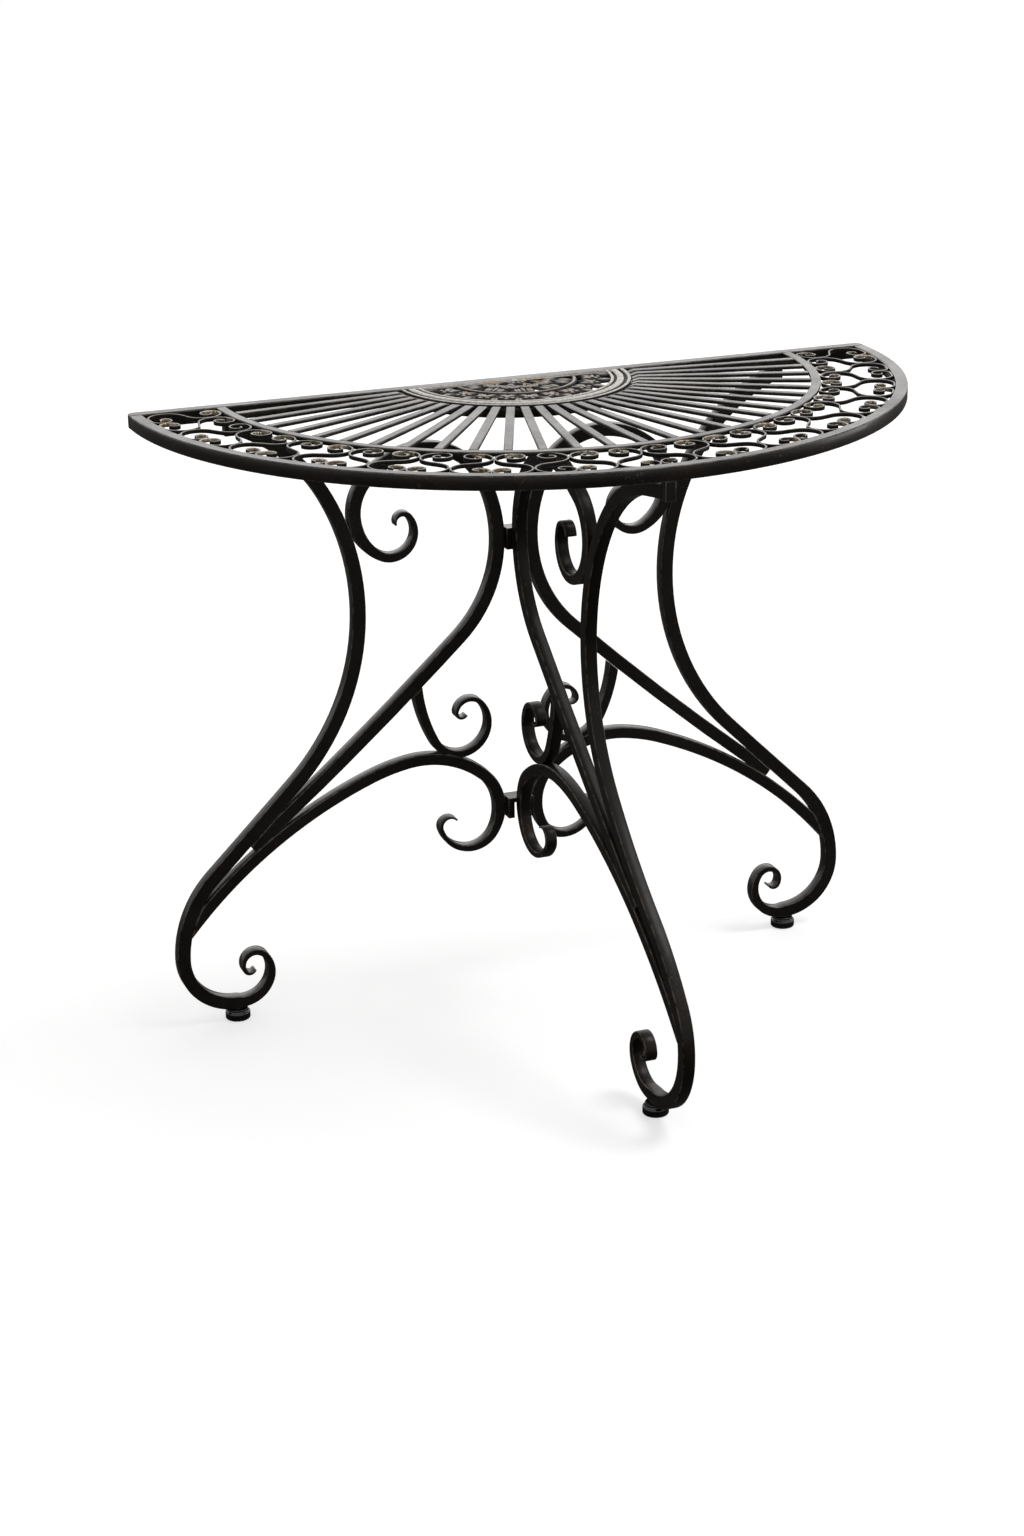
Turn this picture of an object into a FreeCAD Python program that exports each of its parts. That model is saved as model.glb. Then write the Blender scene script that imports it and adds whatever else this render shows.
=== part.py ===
import FreeCAD, Part
import math
import os
from collections import namedtuple

# Half-round wrought iron table on three scrolled legs, in millimetres.
# X runs along the straight back rail, Y points to the rear and Z is up.
# The leg axis is the vertical line under the middle of the rail where the planes of the three legs meet.

GAP = 0.3                      # clearance where curved faces meet
ZERO = 1e-6                    # shorter lengths count as none

# Top frame
RIM_RADIUS = 455.0             # outer radius of the half-round rim
RIM_WIDTH = 14.0
RIM_HEIGHT = 16.0              # the rail is as deep as the rim
RAIL_WIDTH = 16.0
RAIL_CORNER = 7.0              # rounding of the rail's rear corners
ARC_SETBACK = 12.0             # from the rail's rear face forward to the centre of all the arcs
BAND_WIDTH = 85.0              # from the rim in to the mid ring
MID_RING_WIDTH = 11.0
MID_RING_THICKNESS = 5.0

# Spokes
SPOKE_COUNT = 28
SPOKE_END_ANGLE = 6.3          # degrees from the line of the rail to the first and the last spoke
SPOKE_WIDTH = 10.0
SPOKE_THICKNESS = 4.0

# Centre casting and the hoop under it
CASTING_RADIUS = 138.0
CASTING_THICKNESS = 4.0
BORDER_WIDTH = 24.0
BACK_BORDER_WIDTH = 9.0
STEM_RADIUS = 72.0             # half-round stem that carries the leaves
STEM_WIDTH = 6.0
LEAF_COUNT = 11
LEAF_LENGTH = 46.0
LEAF_WIDTH = 17.0
BLOSSOM_COUNT = 10
PETAL_COUNT = 5
PETAL_RADIUS = 5.5
PETAL_SPREAD = 6.5             # from a blossom's middle to the middle of a petal
HEART_RADIUS = 20.0            # middle blossom, half of it in front of the back border
HOOP_THICKNESS = 5.0
HOOP_HEIGHT = 11.0

# Band of lyre scrolls between the mid ring and the rim
LYRE_COUNT = 15
STRIP_THICKNESS = 2.0
STRIP_HEIGHT = 4.5
STRIP_DROP = 1.0               # top of the strips below the top of the table
WAIST_RADIUS = 20.0            # bend where the two strips of a lyre touch
BELLY_RADIUS = 20.0            # bend where a lyre touches its neighbour
RIM_VOLUTE_RADIUS = 11.0
RING_VOLUTE_RADIUS = 11.0
VOLUTE_TURN = 200.0            # degrees of a volute at its full radius
TIP_TURN = 170.0               # degrees after that at half the radius

# Leg bars
BAR_WIDTH = 14.5               # across the plane of a leg
OUTER_THICKNESS = 16.0
INNER_THICKNESS = 15.5
ARCH_THICKNESS = 14.5
MID_SCROLL_THICKNESS = 12.5
TIP_THICKNESS = 2.5            # drawn-out end of each scroll

# Feet, risers and hubs
PAD_RADIUS = 15.0
PAD_HEIGHT = 13.5
PAD_NECK = 12.5                # radius of the pad above its groove
PAD_ROUND = 2.0
RISER_SIZE = 12.0
RISER_LAP = 9.0                # riser below the centreline of the bar's end
RISER_RISE = 10.0              # rail above the centreline of the bar's end
HUB_HALF = 13.0                # half width of the upper hub block
HUB_HEIGHT = 26.0
BRACKET_HEIGHT = 26.0
BRACKET_PLATE = 8.0
BRACKET_WEB = 6.0

Station = namedtuple("Station", "x z heading thick")


# Bars drawn as tangent bends. A heading is in degrees from outward, and a positive bend turns left.

def straight(length):
    def move(place, share):
        angle = math.radians(place.heading)
        x = place.x + share * length * math.cos(angle)
        z = place.z + share * length * math.sin(angle)
        return Station(x, z, place.heading, place.thick)
    return move


def curve(radius, degrees):
    def move(place, share):
        side = math.copysign(radius, degrees)
        first = math.radians(place.heading)
        last = math.radians(place.heading + share * degrees)
        x = place.x + side * (math.sin(last) - math.sin(first))
        z = place.z - side * (math.cos(last) - math.cos(first))
        return Station(x, z, place.heading + share * degrees, place.thick)
    return move


def draw(place, moves):
    """Start, middle and end of each move. A move comes with the bar's thickness at its end."""
    pieces = []
    for move, thick in moves:
        middle = move(place, 0.5)._replace(thick=(place.thick + thick) / 2)
        end = move(place, 1.0)._replace(thick=thick)
        pieces.append((place, middle, end))
        place = end
    return pieces


def both_ways(back, ahead):
    """One path from two that leave the same station in opposite directions."""
    turned = []
    for piece in reversed(back):
        turned.append(tuple(place._replace(heading=place.heading + 180) for place in reversed(piece)))
    return turned + ahead


def shifted(path, dx):
    return [tuple(place._replace(x=place.x + dx) for place in piece) for piece in path]


def beside(place, distance):
    """Point at the left of a station, or at its right for a negative distance."""
    angle = math.radians(place.heading)
    return FreeCAD.Vector(place.x - distance * math.sin(angle), 0, place.z + distance * math.cos(angle))


def side_edge(piece, side, extra):
    """Edge along one side of a bar over one move: a line, or an arc through three points."""
    first, middle, last = [beside(place, side * (place.thick / 2 + extra)) for place in piece]
    if (middle - first).cross(last - middle).Length < ZERO:
        return Part.LineSegment(first, last).toShape()
    return Part.Arc(first, middle, last).toShape()


def bar(path, width, extra=0.0):
    """Solid bar along a path in the XZ plane, centred on that plane. The extra is added on every side."""
    left = [side_edge(piece, 1, extra) for piece in path]
    right = [side_edge(piece, -1, extra) for piece in path]
    start, end = path[0][0], path[-1][2]
    caps = []
    for place in (start, end):
        half = place.thick / 2 + extra
        caps.append(Part.makeLine(beside(place, half), beside(place, -half)))
    outline = Part.Wire(Part.__sortEdges__(left + right + caps))
    face = Part.Face(outline)
    depth = width + 2 * extra
    face.translate(FreeCAD.Vector(0, -depth / 2, 0))
    return face.extrude(FreeCAD.Vector(0, depth, 0))


def largest(shape):
    return max(shape.Solids, key=lambda solid: solid.Volume)


# Legs. Each is drawn outward from the leg axis, and its hub end decides how far out it stands.

def side_leg_bends():
    """Bends of a leg under the rail."""
    return {
        "foot_scroll": [straight(6), curve(37, -77), curve(33, -49), curve(15.5, -174), curve(7, -126)],
        "outer": [curve(64, 90), curve(140, 45.8), curve(12000, -0.7), curve(290.2, -73.5), curve(204, -40)],
        "upper_joint": 0.86,
        "arch_top": [curve(59, 61), curve(96.5, 45.6), curve(82.8, 66)],
        "hub_bend": 164,
        "brace": [curve(159, 47), curve(4100, 4.9)],
        "upper_scroll": [curve(59, 43), curve(29, 159), curve(9.5, 162)],
        "arch_joint": (1, 0.27),
        "arch_lap": 16,
        "arch_angle": 29,
        "arch": [curve(567, 28.2), curve(232, 11.7), curve(118, 50.8)],
        "arch_hub_bend": 60,
        "lower_scroll": [curve(60, 30), curve(35, 67), curve(40, 66), curve(11.5, 161)],
        "mid_joint": 0.215,
        "mid_lap": 7,
        "mid_angle": -54,
        "mid_scroll": [curve(190, -22), curve(36, -85), curve(37, -110), curve(18, -125), curve(7, -160)],
    }


def front_leg_bends():
    """Bends of the front leg, which reaches further out."""
    return {
        "foot_scroll": [straight(14), curve(42, -60), curve(27, -98), curve(17, -110), curve(9, -130)],
        "outer": [
            curve(82.6, 127.8),
            curve(362, 16.8),
            curve(723, -12.5),
            curve(243.5, -79.2),
            curve(190, -44),
        ],
        "upper_joint": 0.805,
        "arch_top": [curve(55, 86), straight(28)],
        "hub_bend": 113,
        "brace": [curve(146, 51.4), curve(6400, 3.4)],
        "upper_scroll": [curve(50, 70), curve(35, 118), curve(13, 150)],
        "arch_joint": (0, 0.79),
        "arch_lap": 20,
        "arch_angle": 35.6,
        "arch": [curve(690, 27.5), curve(259, 11.8), curve(162, 41.4)],
        "arch_hub_bend": 53.5,
        "lower_scroll": [curve(53.5, 26), curve(42, 57.5), curve(53, 60), curve(13.7, 165)],
        "mid_joint": 0.22,
        "mid_lap": 19.7,
        "mid_angle": -63,
        "mid_scroll": [curve(207, -15.7), curve(46, -93), curve(31, -115), curve(21, -94), curve(7.6, -170)],
    }


def even(moves, thick):
    return [(move, thick) for move in moves]


def drawn_out(moves, thick):
    """Moves of a scroll that thins evenly to its tip."""
    last = len(moves)
    return [(move, thick + (TIP_THICKNESS - thick) * step / last) for step, move in enumerate(moves, 1)]


def outer_path(bends):
    foot = Station(0, PAD_HEIGHT + GAP + OUTER_THICKNESS / 2, 0, OUTER_THICKNESS)
    back = draw(foot._replace(heading=180), drawn_out(bends["foot_scroll"], OUTER_THICKNESS))
    ahead = draw(foot, even(bends["outer"], OUTER_THICKNESS))
    return back, ahead


def reversed_bend(move):
    """The same bend, turned to the other side."""
    def other(place, share):
        turned = move(Station(0, 0, 0, place.thick), share)
        angle = math.radians(place.heading)
        x = place.x + turned.x * math.cos(angle) + turned.z * math.sin(angle)
        z = place.z + turned.x * math.sin(angle) - turned.z * math.cos(angle)
        return Station(x, z, place.heading - turned.heading, place.thick)
    return other


def inner_path(bends, outer):
    """Inner bar from where it lies against the outer bar: back to its scroll, and on down to the foot."""
    joint = bends["outer"][3](outer[3][0], bends["upper_joint"])
    touch = beside(joint, (OUTER_THICKNESS + INNER_THICKNESS) / 2 + GAP)
    start = Station(touch.x, touch.z, joint.heading, INNER_THICKNESS)
    scroll_start = start._replace(heading=start.heading + 180)
    scroll_moves = [reversed_bend(move) for move in bends["upper_scroll"]]
    scroll = draw(scroll_start, drawn_out(scroll_moves, INNER_THICKNESS))
    top = draw(start, even(bends["arch_top"], INNER_THICKNESS))
    to_hub = [curve(bends["hub_bend"], 270 - top[-1][2].heading)]
    upper = draw(top[-1][2], even(to_hub, INNER_THICKNESS))
    hub = upper[-1][2]
    brace = draw(hub, even(bends["brace"], INNER_THICKNESS))
    return both_ways(scroll, top + upper + brace), hub, brace[-1]


def arch_path(bends, outer):
    step, share = bends["arch_joint"]
    joint = bends["outer"][step](outer[step][0], share)
    start = joint._replace(heading=joint.heading + bends["arch_angle"], thick=ARCH_THICKNESS)
    rise = draw(start, even([straight(bends["arch_lap"])] + bends["arch"], ARCH_THICKNESS))
    to_hub = [curve(bends["arch_hub_bend"], 270 - rise[-1][2].heading)]
    fall = draw(rise[-1][2], even(to_hub, ARCH_THICKNESS))
    hub = fall[-1][2]
    return rise + fall + draw(hub, drawn_out(bends["lower_scroll"], ARCH_THICKNESS)), hub


def mid_scroll_path(bends, brace):
    joint = bends["brace"][-1](brace[0], bends["mid_joint"])
    start = joint._replace(heading=joint.heading + bends["mid_angle"], thick=MID_SCROLL_THICKNESS)
    lap = draw(start, even([straight(bends["mid_lap"])], MID_SCROLL_THICKNESS))
    return lap + draw(lap[-1][2], drawn_out(bends["mid_scroll"], MID_SCROLL_THICKNESS))


def foot_pad(x):
    """Round glide with a rounded lower edge and a groove under its neck."""
    groove = PAD_RADIUS - PAD_NECK
    corner = PAD_ROUND * (1 - math.sqrt(0.5))
    edges = [
        Part.makeLine((0, 0, 0), (PAD_RADIUS - PAD_ROUND, 0, 0)),
        Part.Arc(
            FreeCAD.Vector(PAD_RADIUS - PAD_ROUND, 0, 0),
            FreeCAD.Vector(PAD_RADIUS - corner, 0, corner),
            FreeCAD.Vector(PAD_RADIUS, 0, PAD_ROUND),
        ).toShape(),
        Part.makeLine((PAD_RADIUS, 0, PAD_ROUND), (PAD_RADIUS, 0, PAD_HEIGHT - 2 * groove)),
        Part.makeLine((PAD_RADIUS, 0, PAD_HEIGHT - 2 * groove), (PAD_NECK, 0, PAD_HEIGHT - groove)),
        Part.makeLine((PAD_NECK, 0, PAD_HEIGHT - groove), (PAD_NECK, 0, PAD_HEIGHT)),
        Part.makeLine((PAD_NECK, 0, PAD_HEIGHT), (0, 0, PAD_HEIGHT)),
        Part.makeLine((0, 0, PAD_HEIGHT), (0, 0, 0)),
    ]
    pad = Part.Face(Part.Wire(edges)).revolve(FreeCAD.Vector(0, 0, 0), FreeCAD.Vector(0, 0, 1), 360)
    pad.translate(FreeCAD.Vector(x, 0, 0))
    return pad


def leg(bends, top_reach=None):
    """Bars, pad and stations of one leg along X. With a top reach, the outer bar runs on that far."""
    foot_scroll, outer = outer_path(bends)
    inner, hub, brace = inner_path(bends, outer)
    arch, arch_hub = arch_path(bends, outer)
    mid = mid_scroll_path(bends, brace)
    dx = HUB_HALF + GAP + INNER_THICKNESS / 2 - hub.x
    end = outer[-1][2]
    run = 0.0
    if top_reach is not None:
        run = (top_reach - dx - end.x) / math.cos(math.radians(end.heading))
    post_x = end.x + dx + run * math.cos(math.radians(end.heading))
    post_z = end.z + run * math.sin(math.radians(end.heading))
    outer = outer + draw(end, [(straight(run + OUTER_THICKNESS), OUTER_THICKNESS)])

    paths = {
        "outer": shifted(both_ways(foot_scroll, outer), dx),
        "inner": shifted(inner, dx),
        "arch": shifted(arch, dx),
        "mid": shifted(mid, dx),
    }
    grown = {name: bar(path, BAR_WIDTH, GAP) for name, path in paths.items()}
    size = 4 * OUTER_THICKNESS
    beyond = Part.makeBox(size, size, size, FreeCAD.Vector(post_x, -size / 2, post_z - size / 2))
    bars = {
        "outer_bar": largest(bar(paths["outer"], BAR_WIDTH).cut(beyond)),
        "arch_bar": largest(bar(paths["arch"], BAR_WIDTH).cut(grown["outer"])),
        "inner_bar": largest(bar(paths["inner"], BAR_WIDTH).cut([grown["outer"], grown["arch"]])),
        "mid_scroll": largest(bar(paths["mid"], BAR_WIDTH).cut([grown["inner"], grown["arch"]])),
        "foot_pad": foot_pad(dx),
    }
    stations = {
        "post_x": post_x,
        "post_z": post_z,
        "hub_z": hub.z,
        "arch_hub_x": arch_hub.x + dx,
        "arch_hub_z": arch_hub.z,
    }
    return bars, stations


def riser(stations, rail_bottom):
    bottom = stations["post_z"] - RISER_LAP
    corner = FreeCAD.Vector(stations["post_x"], -RISER_SIZE / 2, bottom)
    return Part.makeBox(RISER_SIZE, RISER_SIZE, rail_bottom - bottom, corner)


def upper_hub(hub_z):
    """Block between the three inner bars."""
    corner = FreeCAD.Vector(-HUB_HALF, -HUB_HALF, hub_z - HUB_HEIGHT / 2)
    return Part.makeBox(2 * HUB_HALF, HUB_HALF + BAR_WIDTH / 2, HUB_HEIGHT, corner)


def lower_hub(side, front):
    """Inverted U between the arch bars: a plate for each side leg and a web that reaches the front leg."""
    half = side["arch_hub_x"] - ARCH_THICKNESS / 2 - GAP
    reach = front["arch_hub_x"] - ARCH_THICKNESS / 2 - GAP
    depth = reach + BAR_WIDTH / 2
    bottom = side["arch_hub_z"] - BRACKET_HEIGHT / 2
    block = Part.makeBox(2 * half, depth, BRACKET_HEIGHT, FreeCAD.Vector(-half, -reach, bottom))
    slot = Part.makeBox(
        2 * (half - BRACKET_PLATE),
        depth,
        BRACKET_HEIGHT - BRACKET_WEB,
        FreeCAD.Vector(BRACKET_PLATE - half, -reach, bottom),
    )
    return block.cut(slot)


# Top. All arcs share one centre, a little in front of the middle of the rail.

RAIL_FRONT = -RAIL_WIDTH / 2
MID_RING_RADIUS = RIM_RADIUS - RIM_WIDTH - BAND_WIDTH
ARC_CENTRE = RAIL_WIDTH / 2 - ARC_SETBACK


def half_ring(outer, inner, bottom, height):
    """Half ring in front of the rail. With no inner radius it is a half disc."""
    centre = FreeCAD.Vector(0, ARC_CENTRE, bottom)
    ring = Part.makeCylinder(outer, height, centre)
    if inner > 0:
        ring = ring.cut(Part.makeCylinder(inner, height, centre))
    size = 2 * outer
    front = Part.makeBox(size, size, height, FreeCAD.Vector(-outer, RAIL_FRONT - size, bottom))
    return ring.common(front).Solids[0]


def back_rail(top):
    """Straight rail whose ends follow the rim and whose rear corners are rounded."""
    bottom = top - RIM_HEIGHT
    size = 2 * RIM_RADIUS
    rail = Part.makeBox(size, RAIL_WIDTH, RIM_HEIGHT, FreeCAD.Vector(-RIM_RADIUS, RAIL_FRONT, bottom))
    disc = Part.makeCylinder(RIM_RADIUS, RIM_HEIGHT, FreeCAD.Vector(0, ARC_CENTRE, bottom))
    rail = rail.common(disc).Solids[0]
    corners = []
    for edge in rail.Edges:
        box = edge.BoundBox
        if box.ZLength > RIM_HEIGHT / 2 and box.XLength + box.YLength < ZERO and box.YMin > 0:
            corners.append(edge)
    return rail.makeFillet(RAIL_CORNER, corners)


def spoke(angle, top):
    """Flat bar from the casting to the mid ring, with ends that follow both."""
    inner = CASTING_RADIUS + GAP
    outer = MID_RING_RADIUS - MID_RING_WIDTH - GAP
    bottom = top - SPOKE_THICKNESS
    flat = Part.makeBox(outer, SPOKE_WIDTH, SPOKE_THICKNESS, FreeCAD.Vector(0, -SPOKE_WIDTH / 2, bottom))
    flat.rotate(FreeCAD.Vector(0, 0, 0), FreeCAD.Vector(0, 0, 1), -angle)
    flat.translate(FreeCAD.Vector(0, ARC_CENTRE, 0))
    return flat.common(half_ring(outer, inner, bottom, SPOKE_THICKNESS)).Solids[0]


def polar(radius, angle, z):
    """Point in front of the rail. The angle is in degrees from the right end of the rail."""
    turn = math.radians(angle)
    return FreeCAD.Vector(radius * math.cos(turn), ARC_CENTRE - radius * math.sin(turn), z)


def leaf(base, tip, width, angle, bottom):
    """Pointed leaf on a radius, between two arcs."""
    first = polar(base, angle, bottom)
    last = polar(tip, angle, bottom)
    across = polar(width / 2, angle + 90, bottom) - FreeCAD.Vector(0, ARC_CENTRE, bottom)
    middle = (first + last) * 0.5
    left = Part.Arc(first, middle + across, last).toShape()
    right = Part.Arc(last, middle - across, first).toShape()
    return Part.Face(Part.Wire([left, right])).extrude(FreeCAD.Vector(0, 0, CASTING_THICKNESS))


def blossom(centre):
    """Petals round a middle, all of the casting's thickness."""
    discs = [Part.makeCylinder(PETAL_SPREAD, CASTING_THICKNESS, centre)]
    for petal in range(PETAL_COUNT):
        turn = 2 * math.pi * petal / PETAL_COUNT
        place = centre + FreeCAD.Vector(PETAL_SPREAD * math.cos(turn), PETAL_SPREAD * math.sin(turn), 0)
        discs.append(Part.makeCylinder(PETAL_RADIUS, CASTING_THICKNESS, place))
    return discs


def centre_casting(top):
    """Half-round openwork plate: border, stem, leaves on both sides of the stem and blossoms between."""
    bottom = top - CASTING_THICKNESS
    inside = CASTING_RADIUS - BORDER_WIDTH
    border = half_ring(CASTING_RADIUS, inside, bottom, CASTING_THICKNESS)
    parts = []
    length = 2 * inside + BORDER_WIDTH
    corner = FreeCAD.Vector(-length / 2, RAIL_FRONT - BACK_BORDER_WIDTH, bottom)
    parts.append(Part.makeBox(length, BACK_BORDER_WIDTH, CASTING_THICKNESS, corner))
    outer_stem = STEM_RADIUS + STEM_WIDTH / 2
    inner_stem = STEM_RADIUS - STEM_WIDTH / 2
    parts.append(half_ring(outer_stem, inner_stem, bottom, CASTING_THICKNESS))
    parts.append(half_ring(HEART_RADIUS, 0, bottom, CASTING_THICKNESS))
    pitch = 180 / LEAF_COUNT
    for step in range(LEAF_COUNT):
        angle = (step + 0.5) * pitch
        parts.append(leaf(STEM_RADIUS, STEM_RADIUS + LEAF_LENGTH, LEAF_WIDTH, angle, bottom))
        parts.append(leaf(STEM_RADIUS - LEAF_LENGTH, STEM_RADIUS, LEAF_WIDTH, angle, bottom))
    middle = (STEM_RADIUS + inside) / 2
    for step in range(BLOSSOM_COUNT):
        parts.extend(blossom(polar(middle, (step + 1) * pitch, bottom)))
    for step in range(1, BLOSSOM_COUNT, 2):
        parts.append(leaf(HEART_RADIUS / 2, STEM_RADIUS, LEAF_WIDTH / 2, (step + 1) * pitch, bottom))
    plate = border.fuse(parts).removeSplitter()
    return largest(plate.common(half_ring(CASTING_RADIUS, 0, bottom, CASTING_THICKNESS)))


def lyre_half_angle():
    """Half of one lyre's share of the half circle, so that the end lyres reach the rail."""
    belly = RIM_RADIUS - RIM_WIDTH - GAP - STRIP_THICKNESS / 2 - BELLY_RADIUS
    end = math.asin((ARC_CENTRE - RAIL_FRONT) / belly)
    return (math.pi - 2 * end) / (2 * LYRE_COUNT)


def turn_between(first, last):
    """Left turn in degrees from one heading to another."""
    return (last - first) % 360


def lyre_strip():
    """Path of the right strip of a lyre. The lyre's axis is the z axis, from the centre of the arcs."""
    half = STRIP_THICKNESS / 2
    twin = half + GAP / 2
    ring = MID_RING_RADIUS + GAP + half
    rim = RIM_RADIUS - RIM_WIDTH - GAP - half
    share = lyre_half_angle()

    belly_reach = rim - BELLY_RADIUS
    belly_angle = share - math.asin((BELLY_RADIUS + twin) / belly_reach)
    belly_x = belly_reach * math.sin(belly_angle)
    belly_z = belly_reach * math.cos(belly_angle)
    waist_x = twin + WAIST_RADIUS
    waist_z = math.sqrt((ring + WAIST_RADIUS) ** 2 - waist_x ** 2)
    apart = math.hypot(belly_x - waist_x, belly_z - waist_z)
    aim = math.degrees(math.atan2(belly_z - waist_z, belly_x - waist_x))
    slant = aim - math.degrees(math.asin((WAIST_RADIUS + BELLY_RADIUS) / apart))
    tangent = math.sqrt(apart ** 2 - (WAIST_RADIUS + BELLY_RADIUS) ** 2)

    volute_reach = rim - RIM_VOLUTE_RADIUS
    volute_angle = math.asin((RIM_VOLUTE_RADIUS + twin) / volute_reach)
    along_belly = 180 - math.degrees(belly_angle)
    along_volute = 180 - math.degrees(volute_angle)
    thick = STRIP_THICKNESS
    waist = Station(twin, waist_z, 90, thick)
    ahead = [
        curve(WAIST_RADIUS, slant - 90),
        straight(tangent),
        curve(BELLY_RADIUS, turn_between(slant, along_belly)),
        curve(rim, turn_between(along_belly, along_volute)),
        curve(RIM_VOLUTE_RADIUS, VOLUTE_TURN),
        curve(RIM_VOLUTE_RADIUS / 2, TIP_TURN),
    ]
    ring_angle = math.degrees(math.atan2(waist_x, waist_z))
    back = [
        curve(WAIST_RADIUS, 90 - ring_angle),
        curve(RING_VOLUTE_RADIUS, VOLUTE_TURN),
        curve(RING_VOLUTE_RADIUS / 2, TIP_TURN),
    ]
    return both_ways(draw(waist._replace(heading=-90), even(back, thick)), draw(waist, even(ahead, thick)))


def lyre_band(top):
    """All the strips of the band, laid flat from the leg plane and turned to their places."""
    strip = bar(lyre_strip(), STRIP_HEIGHT)
    strip.rotate(FreeCAD.Vector(0, 0, 0), FreeCAD.Vector(1, 0, 0), 90)
    middle = top - STRIP_DROP - STRIP_HEIGHT / 2
    twin = strip.mirror(FreeCAD.Vector(0, 0, 0), FreeCAD.Vector(1, 0, 0))
    pitch = math.degrees(2 * lyre_half_angle())
    strips = []
    for step in range(LYRE_COUNT):
        angle = (step - (LYRE_COUNT - 1) / 2) * pitch
        for side in (strip, twin):
            placed = side.copy()
            placed.rotate(FreeCAD.Vector(0, 0, 0), FreeCAD.Vector(0, 0, 1), angle)
            placed.translate(FreeCAD.Vector(0, ARC_CENTRE, middle))
            strips.append(placed)
    return strips


# Whole table, then one file for each node.

def table():
    rim_middle = RIM_RADIUS - RIM_WIDTH / 2 - ARC_CENTRE
    side_bars, side = leg(side_leg_bends())
    front_bars, front = leg(front_leg_bends(), rim_middle - RISER_SIZE / 2)
    rail_bottom = side["post_z"] + RISER_RISE
    top = rail_bottom + RIM_HEIGHT
    side_bars["riser"] = riser(side, rail_bottom)
    front_bars["riser"] = riser(front, rail_bottom)

    nodes = {}
    for name, bars, turn in (("right", side_bars, 0), ("left", side_bars, 180), ("front", front_bars, -90)):
        for piece, shape in bars.items():
            placed = shape.copy()
            placed.rotate(FreeCAD.Vector(0, 0, 0), FreeCAD.Vector(0, 0, 1), turn)
            nodes[f"{name}_{piece}"] = placed
    nodes["upper_hub_block"] = upper_hub(side["hub_z"])
    nodes["lower_hub_bracket"] = lower_hub(side, front)

    nodes["back_rail"] = back_rail(top)
    nodes["front_rim"] = half_ring(RIM_RADIUS, RIM_RADIUS - RIM_WIDTH, rail_bottom, RIM_HEIGHT)
    ring_inner = MID_RING_RADIUS - MID_RING_WIDTH
    nodes["mid_ring"] = half_ring(MID_RING_RADIUS, ring_inner, top - MID_RING_THICKNESS, MID_RING_THICKNESS)
    pitch = (180 - 2 * SPOKE_END_ANGLE) / (SPOKE_COUNT - 1)
    for step in range(SPOKE_COUNT):
        nodes[f"spoke_{step + 1:02d}"] = spoke(SPOKE_END_ANGLE + step * pitch, top)
    nodes["centre_casting"] = centre_casting(top)
    hoop_bottom = top - CASTING_THICKNESS - HOOP_HEIGHT
    hoop_inner = CASTING_RADIUS - HOOP_THICKNESS
    nodes["casting_hoop"] = half_ring(CASTING_RADIUS, hoop_inner, hoop_bottom, HOOP_HEIGHT)
    nodes["lyre_band"] = Part.makeCompound(lyre_band(top))
    return nodes


def write(nodes):
    """Move the table so that the origin lies under the middle of its box, and save the nodes."""
    box = Part.makeCompound(list(nodes.values())).optimalBoundingBox(False)
    move = FreeCAD.Vector(-(box.XMin + box.XMax) / 2, -(box.YMin + box.YMax) / 2, -box.ZMin)
    os.makedirs("parts", exist_ok=True)
    for name, shape in nodes.items():
        shape.translate(move)
        shape.exportStep(f"parts/{name}.step")


write(table())
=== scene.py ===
# Half-round wrought iron table with an openwork top, put together as a smith would:
# legs first, then the hubs that tie them, the top frame, its spokes, the scroll band and the casting.
import math
import bmesh
import bpy
from mathutils import Matrix, Vector


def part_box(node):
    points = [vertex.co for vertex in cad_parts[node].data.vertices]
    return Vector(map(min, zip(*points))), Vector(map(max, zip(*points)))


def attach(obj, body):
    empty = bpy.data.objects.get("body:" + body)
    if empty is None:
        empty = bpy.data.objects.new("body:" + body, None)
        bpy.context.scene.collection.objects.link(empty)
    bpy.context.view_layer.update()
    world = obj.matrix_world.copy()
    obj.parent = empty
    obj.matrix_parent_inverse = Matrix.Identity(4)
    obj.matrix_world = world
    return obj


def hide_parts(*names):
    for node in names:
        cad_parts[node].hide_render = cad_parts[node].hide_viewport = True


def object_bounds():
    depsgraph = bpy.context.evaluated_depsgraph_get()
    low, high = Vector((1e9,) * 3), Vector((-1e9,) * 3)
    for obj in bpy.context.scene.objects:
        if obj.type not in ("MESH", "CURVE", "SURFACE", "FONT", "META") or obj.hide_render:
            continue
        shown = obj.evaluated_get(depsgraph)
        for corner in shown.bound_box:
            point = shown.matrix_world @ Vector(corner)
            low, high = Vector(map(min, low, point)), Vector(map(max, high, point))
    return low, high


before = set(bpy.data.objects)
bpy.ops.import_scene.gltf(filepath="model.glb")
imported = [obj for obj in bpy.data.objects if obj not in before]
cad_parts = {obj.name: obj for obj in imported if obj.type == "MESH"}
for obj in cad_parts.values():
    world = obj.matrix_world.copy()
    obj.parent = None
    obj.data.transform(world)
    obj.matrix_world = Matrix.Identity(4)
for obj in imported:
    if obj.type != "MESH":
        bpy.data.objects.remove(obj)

cad_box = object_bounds()


# Leg bars: square bar bent hot to scrolls, with the corners dressed by file and hammer.
# They carry brown-black paint, paler along the edges as rubbed paint and as painted highlight, over an
# uneven forged skin.
# The front leg gets a copy of that paint that is less glossy and a little darker at the edges, as painted
# shade.

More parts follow.
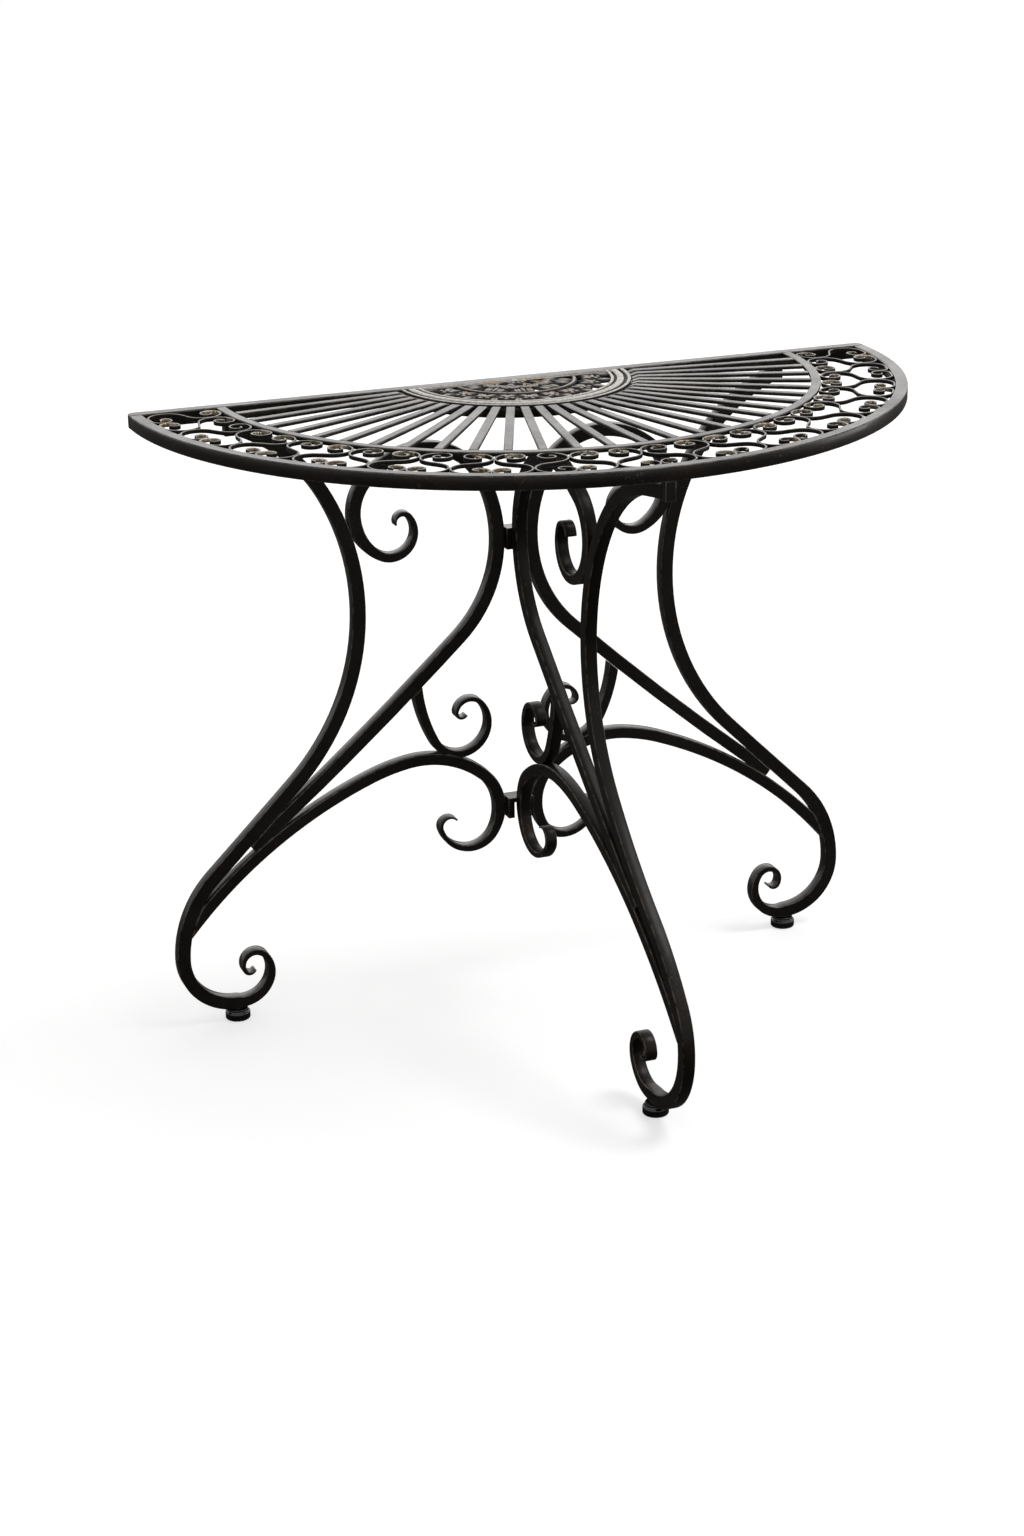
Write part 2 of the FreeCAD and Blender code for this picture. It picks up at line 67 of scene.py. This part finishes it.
class Tint:
    """A socket in a material. Arithmetic adds Math nodes, and node() adds a node of any other kind."""

    def __init__(self, tree, socket=None):
        self.tree = tree
        self.socket = socket

    def link(self, value, socket):
        if isinstance(value, Tint):
            self.tree.links.new(value.socket, socket)
        else:
            socket.default_value = value

    def node(self, kind, settings=None, inputs=None, output=0):
        made = self.tree.nodes.new(kind)
        for key, value in (settings or {}).items():
            setattr(made, key, value)
        for key, value in (inputs or {}).items():
            self.link(value, made.inputs[key])
        return Tint(self.tree, made.outputs[output])

    def math(self, operation, first, second):
        return self.node("ShaderNodeMath", {"operation": operation}, {0: first, 1: second})

    def __add__(self, other):
        return self.math("ADD", self, other)

    def __mul__(self, other):
        return self.math("MULTIPLY", self, other)

    def __sub__(self, other):
        return self.math("SUBTRACT", self, other)

    def __rsub__(self, other):
        return self.math("SUBTRACT", other, self)

    __radd__ = __add__
    __rmul__ = __mul__

    def step(self, low, high):
        """0 below low, 1 above high, and even between them."""
        inputs = {0: self, 1: low, 2: high, 3: 0.0, 4: 1.0}
        return self.node("ShaderNodeMapRange", {"clamp": True}, inputs)

    def place(self, axis):
        """Where a point of the piece lies along X, Y or Z, in metres."""
        spot = self.node("ShaderNodeTexCoord", output="Object")
        return self.node("ShaderNodeSeparateXYZ", None, {0: spot}, output=axis)

    def noise(self, scale, detail=3.0):
        spot = self.node("ShaderNodeTexCoord", output="Object")
        return self.node("ShaderNodeTexNoise", None, {"Vector": spot, "Scale": scale, "Detail": detail})

    def mix(self, factor, first, second):
        inputs = {0: factor, 6: first, 7: second}
        return self.node("ShaderNodeMix", {"data_type": "RGBA"}, inputs, output=2)

    def attribute(self, name):
        return self.node("ShaderNodeAttribute", {"attribute_name": name}, output="Fac")

    def bump(self, height, strength, distance):
        inputs = {"Strength": strength, "Distance": distance, "Height": height}
        return self.node("ShaderNodeBump", None, inputs)


def new_finish(name):
    material = bpy.data.materials.new(name)
    material.use_nodes = True
    return material, Tint(material.node_tree), material.node_tree.nodes["Principled BSDF"]


def forged_paint(name, dark, brown, rubbed_and_highlit, specks, gloss=0.35, shine=0.22):
    """Brown-black paint over forged bar: cloudy brown, edges lightened in patches as worn paint and as
    painted highlight, pale scuffs and rusty specks.
    """
    material, tint, shader = new_finish(name)
    cloud = tint.noise(14.0)
    hammer = tint.noise(90.0)
    grain = tint.noise(700.0, 2.0)
    # Lighter colour on the eased edges, in patches: partly worn paint, partly painted highlight.
    worn_and_highlit = tint.attribute("edge") * hammer.step(0.38, 0.6)
    patches = tint.noise(22.0).step(0.52, 0.66)
    rust = tint.noise(260.0, 2.0).step(0.6, 0.68) * patches * specks
    scuffs = tint.noise(330.0, 4.0).step(0.6, 0.66) * tint.noise(8.0).step(0.56, 0.64) * specks
    colour = tint.mix(cloud.step(0.35, 0.7), dark, brown)
    colour = tint.mix(rust, colour, (0.085, 0.034, 0.019, 1))
    colour = tint.mix(scuffs * 0.6, colour, (0.13, 0.118, 0.105, 1))
    colour = tint.mix(worn_and_highlit, colour, rubbed_and_highlit)
    tint.link(colour, shader.inputs["Base Color"])
    tint.link(0.3 + hammer * 0.16 - worn_and_highlit * 0.05 + rust * 0.2, shader.inputs["Roughness"])
    tint.link(0.3 * gloss + gloss * cloud.step(0.3, 0.72), shader.inputs["Coat Weight"])
    tint.link(tint.bump(hammer * 0.8 + grain * 0.2, 0.25, 0.0008), shader.inputs["Normal"])
    shader.inputs["Specular IOR Level"].default_value = shine
    shader.inputs["Coat IOR"].default_value = 1.3
    shader.inputs["Coat Roughness"].default_value = 0.15
    return material


def eased(node, easing, segments=2):
    """A bar with its sharp corners rounded. The rounded faces hold 1 in the attribute edge."""
    shape = bmesh.new()
    shape.from_mesh(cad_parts[node].data)
    bmesh.ops.remove_doubles(shape, verts=shape.verts, dist=1e-6)
    flat = math.radians(0.6)
    bmesh.ops.dissolve_limit(shape, angle_limit=flat, verts=shape.verts, edges=shape.edges)
    layer = shape.faces.layers.float.new("edge")
    corner = math.radians(38)
    for face in shape.faces:
        turns = [edge.calc_face_angle(0.0) for edge in face.edges]
        face.smooth = any(flat < turn < corner for turn in turns)
    sharp = [edge for edge in shape.edges if edge.calc_face_angle(0.0) > corner]
    rounded = bmesh.ops.bevel(
        shape, geom=sharp, offset=easing, offset_type="OFFSET", segments=segments, profile=0.5,
        affect="EDGES", clamp_overlap=True, material=-1)
    for face in rounded["faces"]:
        face.smooth = True
        face[layer] = 1.0
    return shape


def piece(name, shape, material):
    """Turn a bmesh into a piece of the table."""
    mesh = bpy.data.meshes.new(name)
    shape.to_mesh(mesh)
    shape.free()
    mesh.materials.append(material)
    made = bpy.data.objects.new(name, mesh)
    bpy.context.scene.collection.objects.link(made)
    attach(made, "root")
    return made


leg_paint = forged_paint(
    "leg_paint", dark=(0.006, 0.0048, 0.0035, 1), brown=(0.012, 0.009, 0.0063, 1),
    rubbed_and_highlit=(0.13, 0.11, 0.09, 1), specks=0.35, gloss=0.5)
# Duller, darker-edged copy of the leg paint for the front leg: painted shade.
front_leg_shaded_paint = forged_paint(
    "front_leg_shaded_paint", dark=(0.006, 0.0048, 0.0035, 1), brown=(0.012, 0.009, 0.0063, 1),
    rubbed_and_highlit=(0.11, 0.092, 0.074, 1), specks=0.5, gloss=0.1, shine=0.12)
for leg, finish in (("left", leg_paint), ("right", leg_paint), ("front", front_leg_shaded_paint)):
    for bar in ("outer_bar", "inner_bar", "arch_bar", "mid_scroll"):
        forged = piece(f"forged_{leg}_{bar}", eased(f"{leg}_{bar}", 0.0016), finish)
        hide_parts(f"{leg}_{bar}")


# Risers and hubs: short offcuts of bar and plate that join the legs to the top and to each other.
# They are sawn square, welded in and painted with the legs.

for joint in ("left_riser", "right_riser", "front_riser", "upper_hub_block", "lower_hub_bracket"):
    sawn = piece(f"sawn_{joint}", eased(joint, 0.0008), leg_paint)
    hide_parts(joint)


# Foot pads: turned glides under the foot scrolls, pressed onto a stub.
# Gloss black, scuffed dull where they rub on the floor.

pad_gloss, tint, shader = new_finish("pad_gloss")
scuff = (1 - tint.place("Z").step(0.0005, 0.004)) * tint.noise(400.0).step(0.35, 0.6)
black = tint.mix(scuff, (0.004, 0.004, 0.004, 1), (0.03, 0.028, 0.026, 1))
tint.link(black, shader.inputs["Base Color"])
tint.link(0.1 + scuff * 0.4 + tint.noise(150.0) * 0.06, shader.inputs["Roughness"])
for leg in ("left", "right", "front"):
    glide = piece(f"turned_{leg}_foot_pad", eased(f"{leg}_foot_pad", 0.0006), pad_gloss)
    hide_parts(f"{leg}_foot_pad")


# Top frame: the straight back rail, the half-round rim, the mid ring and the hoop under the casting.
# Bar bent cold on a former and ground flush on top; its corners are painted paler, as rubbed paint and as
# painted highlight.

frame_paint = forged_paint(
    "frame_paint", dark=(0.007, 0.0055, 0.0042, 1), brown=(0.018, 0.0125, 0.009, 1),
    rubbed_and_highlit=(0.1, 0.086, 0.074, 1), specks=1.0)
corner_easing = {"back_rail": 0.0014, "front_rim": 0.0014, "mid_ring": 0.001, "casting_hoop": 0.0008}
for bar, easing in corner_easing.items():
    bent = piece(f"bent_{bar}", eased(bar, easing), frame_paint)
    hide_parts(bar)


# Spokes: flat bar laid like the ribs of a fan between the casting and the mid ring.
# Each is cut to length and welded at both ends. The inner end is hammered down under the casting's lip.

rail_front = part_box("centre_casting")[1][1]
arc_offset = 0.004
arc_middle = rail_front + arc_offset
top_height = cad_box[1][2]
half_spoke = 0.002
lip_radius = 0.1465
lip_slope = 0.008
lip_drop = 0.0026


def lowered_end(rib, drop):
    """Slope the top of a spoke down towards the casting."""
    ends = [vert.co for vert in rib.verts]
    outward_x = sum(spot.x for spot in ends)
    outward_y = sum(spot.y - arc_middle for spot in ends)
    along = Vector((outward_x, outward_y, 0)).normalized()
    everything = rib.verts[:] + rib.edges[:] + rib.faces[:]
    start = Vector((0, arc_middle, 0)) + along * lip_radius
    bmesh.ops.bisect_plane(rib, geom=everything, plane_co=start, plane_no=along)
    for vert in rib.verts:
        short = lip_radius - (vert.co - Vector((0, arc_middle, 0))).dot(along)
        if short > 0 and vert.co.z > top_height - half_spoke:
            vert.co.z -= drop * short / lip_slope


spoke_paint = forged_paint(
    "spoke_paint", dark=(0.013, 0.011, 0.0095, 1), brown=(0.03, 0.023, 0.018, 1),
    rubbed_and_highlit=(0.12, 0.105, 0.092, 1), specks=0.4)
for node in sorted(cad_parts):
    if node.startswith("spoke_"):
        flat_bar = eased(node, 0.001)
        lowered_end(flat_bar, lip_drop)
        rib = piece(f"flat_{node}", flat_bar, spoke_paint)
        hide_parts(node)


# Scroll band: thin strips on edge, rolled into lyres that touch each other, the ring and the rim.
# The inner walls of the volutes turn pale bronze metal in patches, as worn paint and as painted
# highlight.

lyre_pitch = math.radians(11.927)
volute_radius = 0.011
waist_radius = 0.02
half_strip = 0.00115
rim_width = 0.014
rim_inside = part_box("front_rim")[1][0] - rim_width
ring_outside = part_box("mid_ring")[1][0]
rim_eye = rim_inside - half_strip - volute_radius
rim_swing = math.asin((half_strip + volute_radius) / rim_eye)
ring_eye = ring_outside + half_strip + volute_radius
ring_swing = math.asin((half_strip + waist_radius) / (ring_outside + half_strip + waist_radius))


def volute_wear_and_glint(face):
    """1 on a wall that looks towards the eye of a volute near it, and 0 elsewhere."""
    spot = face.calc_center_median()
    radius = math.hypot(spot.x, spot.y - arc_middle)
    angle = math.atan2(spot.x, arc_middle - spot.y)
    lyre = round(angle / lyre_pitch) * lyre_pitch
    side = math.copysign(1.0, angle - lyre)
    for reach, swing in ((rim_eye, rim_swing), (ring_eye, ring_swing)):
        turn = lyre + side * swing
        eye = Vector((reach * math.sin(turn), arc_middle - reach * math.cos(turn), spot.z))
        if (spot - eye).length < volute_radius + half_strip and face.normal.dot(eye - spot) > 0:
            return 1.0
    return 0.0


# The strips' eased edges are painted far paler than the bars', as wear and as painted highlight along
# their edges.
strip_paint = forged_paint(
    "strip_paint", dark=(0.008, 0.0065, 0.0055, 1), brown=(0.018, 0.013, 0.0095, 1),
    rubbed_and_highlit=(0.4, 0.36, 0.31, 1), specks=0.4)
shader = strip_paint.node_tree.nodes["Principled BSDF"]
paint = Tint(strip_paint.node_tree, shader.inputs["Base Color"].links[0].from_socket)
# Pale bronze metal in patches on the volutes' inner walls: partly worn paint, partly painted highlight.
rubs_and_glints = paint.noise(24.0).step(0.42, 0.56) * paint.noise(300.0).step(0.3, 0.55)
bare_and_glinting = paint.attribute("volute") * rubs_and_glints
bronze_and_glint = paint.mix(paint.noise(60.0).step(0.4, 0.6), (0.6, 0.47, 0.29, 1), (0.76, 0.69, 0.56, 1))
paint.link(paint.mix(bare_and_glinting, paint, bronze_and_glint), shader.inputs["Base Color"])
paint.link(bare_and_glinting * 0.8, shader.inputs["Metallic"])
strips = eased("lyre_band", 0.0003)
wear_and_glint_layer = strips.faces.layers.float.new("volute")
for face in strips.faces:
    face[wear_and_glint_layer] = volute_wear_and_glint(face)
band = piece("rolled_lyre_band", strips, strip_paint)
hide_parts("lyre_band")


# Centre casting: a half-round openwork plate of leaves and blossoms on a stem, in a moulded border.
# Cast in sand and held in the hoop. The high parts are worn grey, and the low parts, the hollows and the
# outer wall of the border are painted near-black as shade.

casting_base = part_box("centre_casting")[0][2]
arc_centre = Vector((0, arc_middle, casting_base))
relief = 0.004


def moulding(shape, profile):
    """Half-round moulding: a closed profile of radius and height, turned round the middle of the rail."""
    corners = [shape.verts.new(arc_centre + Vector((radius, 0, height))) for radius, height in profile]
    section = shape.faces.new(corners)
    bmesh.ops.spin(
        shape, geom=[section] + section.edges[:] + corners, cent=arc_centre, axis=(0, 0, 1),
        angle=-math.pi, steps=90)


def leaf(shape, place, length, width, height):
    """Domed leaf with a sunk midrib, laid along the X of its place and flat below."""
    blade = bmesh.ops.create_grid(shape, x_segments=6, y_segments=4, size=0.5)["verts"]
    for vert in blade:
        along = vert.co.x + 0.5
        across = 2 * vert.co.y
        full = 0.12 + 0.88 * math.sin(math.pi * along) ** 0.8
        crown = (0.6 + 0.4 * full) * (1 - 0.7 * across ** 2) - 0.28 * max(0.0, 1 - 2 * abs(across))
        vert.co = (length * along, width / 2 * across * full, height * max(0.15, crown))
    faces = list({face for vert in blade for face in vert.link_faces})
    raised = bmesh.ops.extrude_face_region(shape, geom=faces)["geom"]
    upper = [part for part in raised if isinstance(part, bmesh.types.BMVert)]
    for vert in blade:
        vert.co.z = 0
    bmesh.ops.transform(shape, matrix=place, verts=blade + upper)


def spray(shape, base, length, width, angle, lean):
    """Low leaf on a radius that carries three raised leaflets, one to each side and one at the tip."""
    radius = Matrix.Translation(arc_centre) @ Matrix.Rotation(-angle, 4, "Z")
    root = radius @ Matrix.Translation((base, 0, 0))
    leaf(shape, root, length, width * 0.8, relief * 0.35)
    for side in (1, -1):
        turn = Matrix.Rotation(side * math.radians(44) + lean, 4, "Z")
        place = root @ Matrix.Translation((length * 0.16, side * 0.001, 0)) @ turn
        leaf(shape, place, length * 0.46, width * 0.56, relief)
    tip = root @ Matrix.Translation((length * 0.5, 0, 0)) @ Matrix.Rotation(lean, 4, "Z")
    leaf(shape, tip, length * 0.5, width * 0.66, relief)


def dome(shape, matrix):
    """Low round boss, flat below."""
    made = bmesh.ops.create_uvsphere(shape, u_segments=14, v_segments=8, radius=1.0)["verts"]
    for vert in made:
        vert.co.z = max(vert.co.z, 0.0)
    bmesh.ops.transform(shape, matrix=matrix, verts=made)


def blossom(shape, place, turn, spread, petal_size, petals, arc):
    """Petals round a raised eye on a low disc. The arc is how far round they go."""
    heart = Matrix.Translation(place)
    dome(shape, heart @ Matrix.Diagonal((spread * 1.5, spread * 1.5, relief * 0.3, 1)))
    for step in range(petals):
        angle = turn + arc * step / petals
        outward = heart @ Matrix.Rotation(angle, 4, "Z") @ Matrix.Translation((spread, 0, 0))
        dome(shape, outward @ Matrix.Diagonal((petal_size, petal_size * 0.86, relief * 0.85, 1)))
    dome(shape, heart @ Matrix.Diagonal((spread * 0.55, spread * 0.55, relief, 1)))


border_profile = (
    (0.138, 0), (0.138, 0.0032), (0.1372, 0.004), (0.1345, 0.004), (0.1337, 0.0032), (0.1334, 0.001),
    (0.1296, 0.001), (0.1293, 0.0032), (0.1285, 0.004), (0.1222, 0.004), (0.1214, 0.0032),
    (0.1211, 0.001), (0.1182, 0.001), (0.1179, 0.0032), (0.1171, 0.004), (0.115, 0.004),
    (0.1142, 0.003), (0.114, 0))
stem_profile = (
    (0.075, 0), (0.075, 0.0012), (0.074, 0.0026), (0.072, 0.0034), (0.07, 0.0026),
    (0.069, 0.0012), (0.069, 0))
cast = bmesh.new()
moulding(cast, border_profile)
moulding(cast, stem_profile)
everything = cast.verts[:] + cast.edges[:] + cast.faces[:]
cut = bmesh.ops.bisect_plane(
    cast, geom=everything, plane_co=(0, rail_front, 0), plane_no=(0, 1, 0), clear_outer=True)
rims = [part for part in cut["geom_cut"] if isinstance(part, bmesh.types.BMEdge)]
bmesh.ops.holes_fill(cast, edges=rims, sides=0)

border_length = 0.252
border_width = 0.009
back_border = bmesh.ops.create_cube(cast, size=1.0)["verts"]
middle = Matrix.Translation((0, rail_front - border_width / 2, casting_base + relief / 2))
stretch = Matrix.Diagonal((border_length, border_width, relief, 1))
bmesh.ops.transform(cast, matrix=middle @ stretch, verts=back_border)
cast.normal_update()
upper = [face for face in {f for v in back_border for f in v.link_faces} if face.normal.z > 0.9]
bmesh.ops.inset_region(cast, faces=upper, thickness=0.0018)
bmesh.ops.inset_region(cast, faces=upper, thickness=0.0008, depth=-0.0014)

leaf_count = 11
leaf_pitch = math.pi / leaf_count
leaf_length = 0.046
leaf_width = 0.017
leaf_lean = 0.12
outer_row = 0.072
inner_row = 0.026
for step in range(leaf_count):
    angle = (step + 0.5) * leaf_pitch
    lean = leaf_lean if step % 2 else -leaf_lean
    spray(cast, outer_row, leaf_length, leaf_width, angle, lean)
    spray(cast, inner_row, leaf_length, leaf_width, angle, -lean)
blossom_row = 0.093
for step in range(leaf_count - 1):
    angle = (step + 1) * leaf_pitch
    spot = arc_centre + Vector((blossom_row * math.cos(angle), -blossom_row * math.sin(angle), 0))
    blossom(cast, spot, turn=step * 0.7, spread=0.0068, petal_size=0.0046, petals=5, arc=2 * math.pi)
    if step % 2:
        spray(cast, base=0.01, length=0.062, width=0.0085, angle=angle, lean=0.0)
heart_spot = arc_centre + Vector((0, -0.008, 0))
blossom(cast, heart_spot, turn=-math.pi, spread=0.011, petal_size=0.0048, petals=7, arc=math.pi * 7 / 6)
bmesh.ops.recalc_face_normals(cast, faces=cast.faces)
for face in cast.faces:
    face.smooth = True

casting_skin, tint, shader = new_finish("casting_skin")
patch = tint.noise(38.0)
pits = tint.noise(900.0, 2.0)
# Below the top of the relief, and on the border's outer wall, the casting is painted near-black as shade;
# above it the grey and tan metal shows.
high = (tint.place("Z") - casting_base).step(0.0025, 0.0035)
spot = tint.node("ShaderNodeTexCoord", output="Object")
reach = tint.node(
    "ShaderNodeVectorMath", {"operation": "DISTANCE"}, {0: spot, 1: arc_centre}, output="Value")
inside_border = 1 - reach.step(0.111, 0.115)
inside_shaded_outer_wall = 1 - reach.step(0.1373, 0.1378)
tan = patch.step(0.5, 0.66) * inside_border
high = high * inside_shaded_outer_wall
metal = tint.mix(tan, (0.5, 0.474, 0.44, 1), (0.5, 0.387, 0.274, 1))
unshaded_metal = high * (0.6 + 0.4 * tint.noise(240.0).step(0.35, 0.6))
colour = tint.mix(unshaded_metal, (0.008, 0.006, 0.0045, 1), metal)
tint.link(colour, shader.inputs["Base Color"])
tint.link(0.62 - 0.2 * high + patch * 0.1, shader.inputs["Roughness"])
tint.link(tint.bump(pits, 0.3, 0.0006), shader.inputs["Normal"])
shader.inputs["Metallic"].default_value = 0.35
casting = piece("cast_centre", cast, casting_skin)
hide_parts("centre_casting")


# Stage: a pale floor that runs on into a white surround, a broad soft light over the table,
# a panel behind it that shows in the top, a low panel at the right that draws the shadows of the feet
# out to the left, and the camera.

floor_shape = bmesh.new()
bmesh.ops.create_grid(floor_shape, x_segments=1, y_segments=1, size=20.0)
floor_mesh = bpy.data.meshes.new("floor")
floor_shape.to_mesh(floor_mesh)
floor_shape.free()
floor = bpy.data.objects.new("floor", floor_mesh)
bpy.context.scene.collection.objects.link(floor)
floor_paper, tint, shader = new_finish("floor_paper")
seen = tint.node("ShaderNodeLightPath", output="Is Camera Ray")
tint.link(tint.mix(seen, (0.1, 0.1, 0.1, 1), (0.56, 0.56, 0.56, 1)), shader.inputs["Base Color"])
shader.inputs["Roughness"].default_value = 0.9
shader.inputs["Specular IOR Level"].default_value = 0.0
tint.link(tint.mix(seen, (0, 0, 0, 1), (0.59, 0.59, 0.59, 1)), shader.inputs["Emission Color"])
shader.inputs["Emission Strength"].default_value = 1.0
floor_mesh.materials.append(floor_paper)

world = bpy.data.worlds.new("surround")
bpy.context.scene.world = world
world.use_nodes = True
air = Tint(world.node_tree)
path = world.node_tree.nodes.new("ShaderNodeLightPath")
camera_ray = Tint(air.tree, path.outputs["Is Camera Ray"])
glossy_ray = Tint(air.tree, path.outputs["Is Glossy Ray"])
open_view = air.math("MAXIMUM", camera_ray, glossy_ray)
surround = air.mix(open_view, (0.45, 0.45, 0.45, 1), (1, 1, 1, 1))
air.link(surround, world.node_tree.nodes["Background"].inputs["Color"])


def aim(holder, place, target):
    """Turn a lamp to face a point."""
    holder.location = place
    holder.rotation_euler = (Vector(target) - Vector(place)).to_track_quat("-Z", "Y").to_euler()
    bpy.context.scene.collection.objects.link(holder)


sky = bpy.data.lights.new("sky_soft", "SUN")
sky.energy = 1.1
sky.angle = math.radians(22)
aim(bpy.data.objects.new("sky_soft", sky), (1.5, -0.5, 3.0), (0, 0, 0))
back_panel = bpy.data.lights.new("back_panel", "AREA")
back_panel.shape = "RECTANGLE"
back_panel.size = 7.0
back_panel.size_y = 3.0
back_panel.energy = 70
back_panel.color = (1.0, 0.975, 0.945)
aim(bpy.data.objects.new("back_panel", back_panel), (1.6, 4.4, 2.4), (0, 0, 0.75))
side_panel = bpy.data.lights.new("side_panel", "AREA")
side_panel.shape = "RECTANGLE"
side_panel.size = 1.2
side_panel.size_y = 0.7
side_panel.energy = 10
aim(bpy.data.objects.new("side_panel", side_panel), (2.9, -0.3, 0.7), (0, 0, 0.1))

camera_place = (-1.1774, -2.8529, 1.4849)
focal_pixels = 2901.74
picture_height_pixels = 1536.0
yaw = math.radians(20.684)
pitch = math.radians(20.1325)
roll = math.radians(0.828)
ahead = Vector((math.sin(yaw) * math.cos(pitch), math.cos(yaw) * math.cos(pitch), -math.sin(pitch)))
level = Vector((math.cos(yaw), -math.sin(yaw), 0))
down = ahead.cross(level)
right = level * math.cos(roll) + down * math.sin(roll)
down = down * math.cos(roll) - level * math.sin(roll)
lens = bpy.data.cameras.new("view")
lens.sensor_width = 36.0
lens.lens = focal_pixels / picture_height_pixels * lens.sensor_width
view = bpy.data.objects.new("view", lens)
turn = Matrix((right, -down, -ahead)).transposed().to_4x4()
view.matrix_world = Matrix.Translation(camera_place) @ turn
bpy.context.scene.collection.objects.link(view)
bpy.context.scene.camera = view
bpy.context.scene.view_settings.view_transform = "Standard"
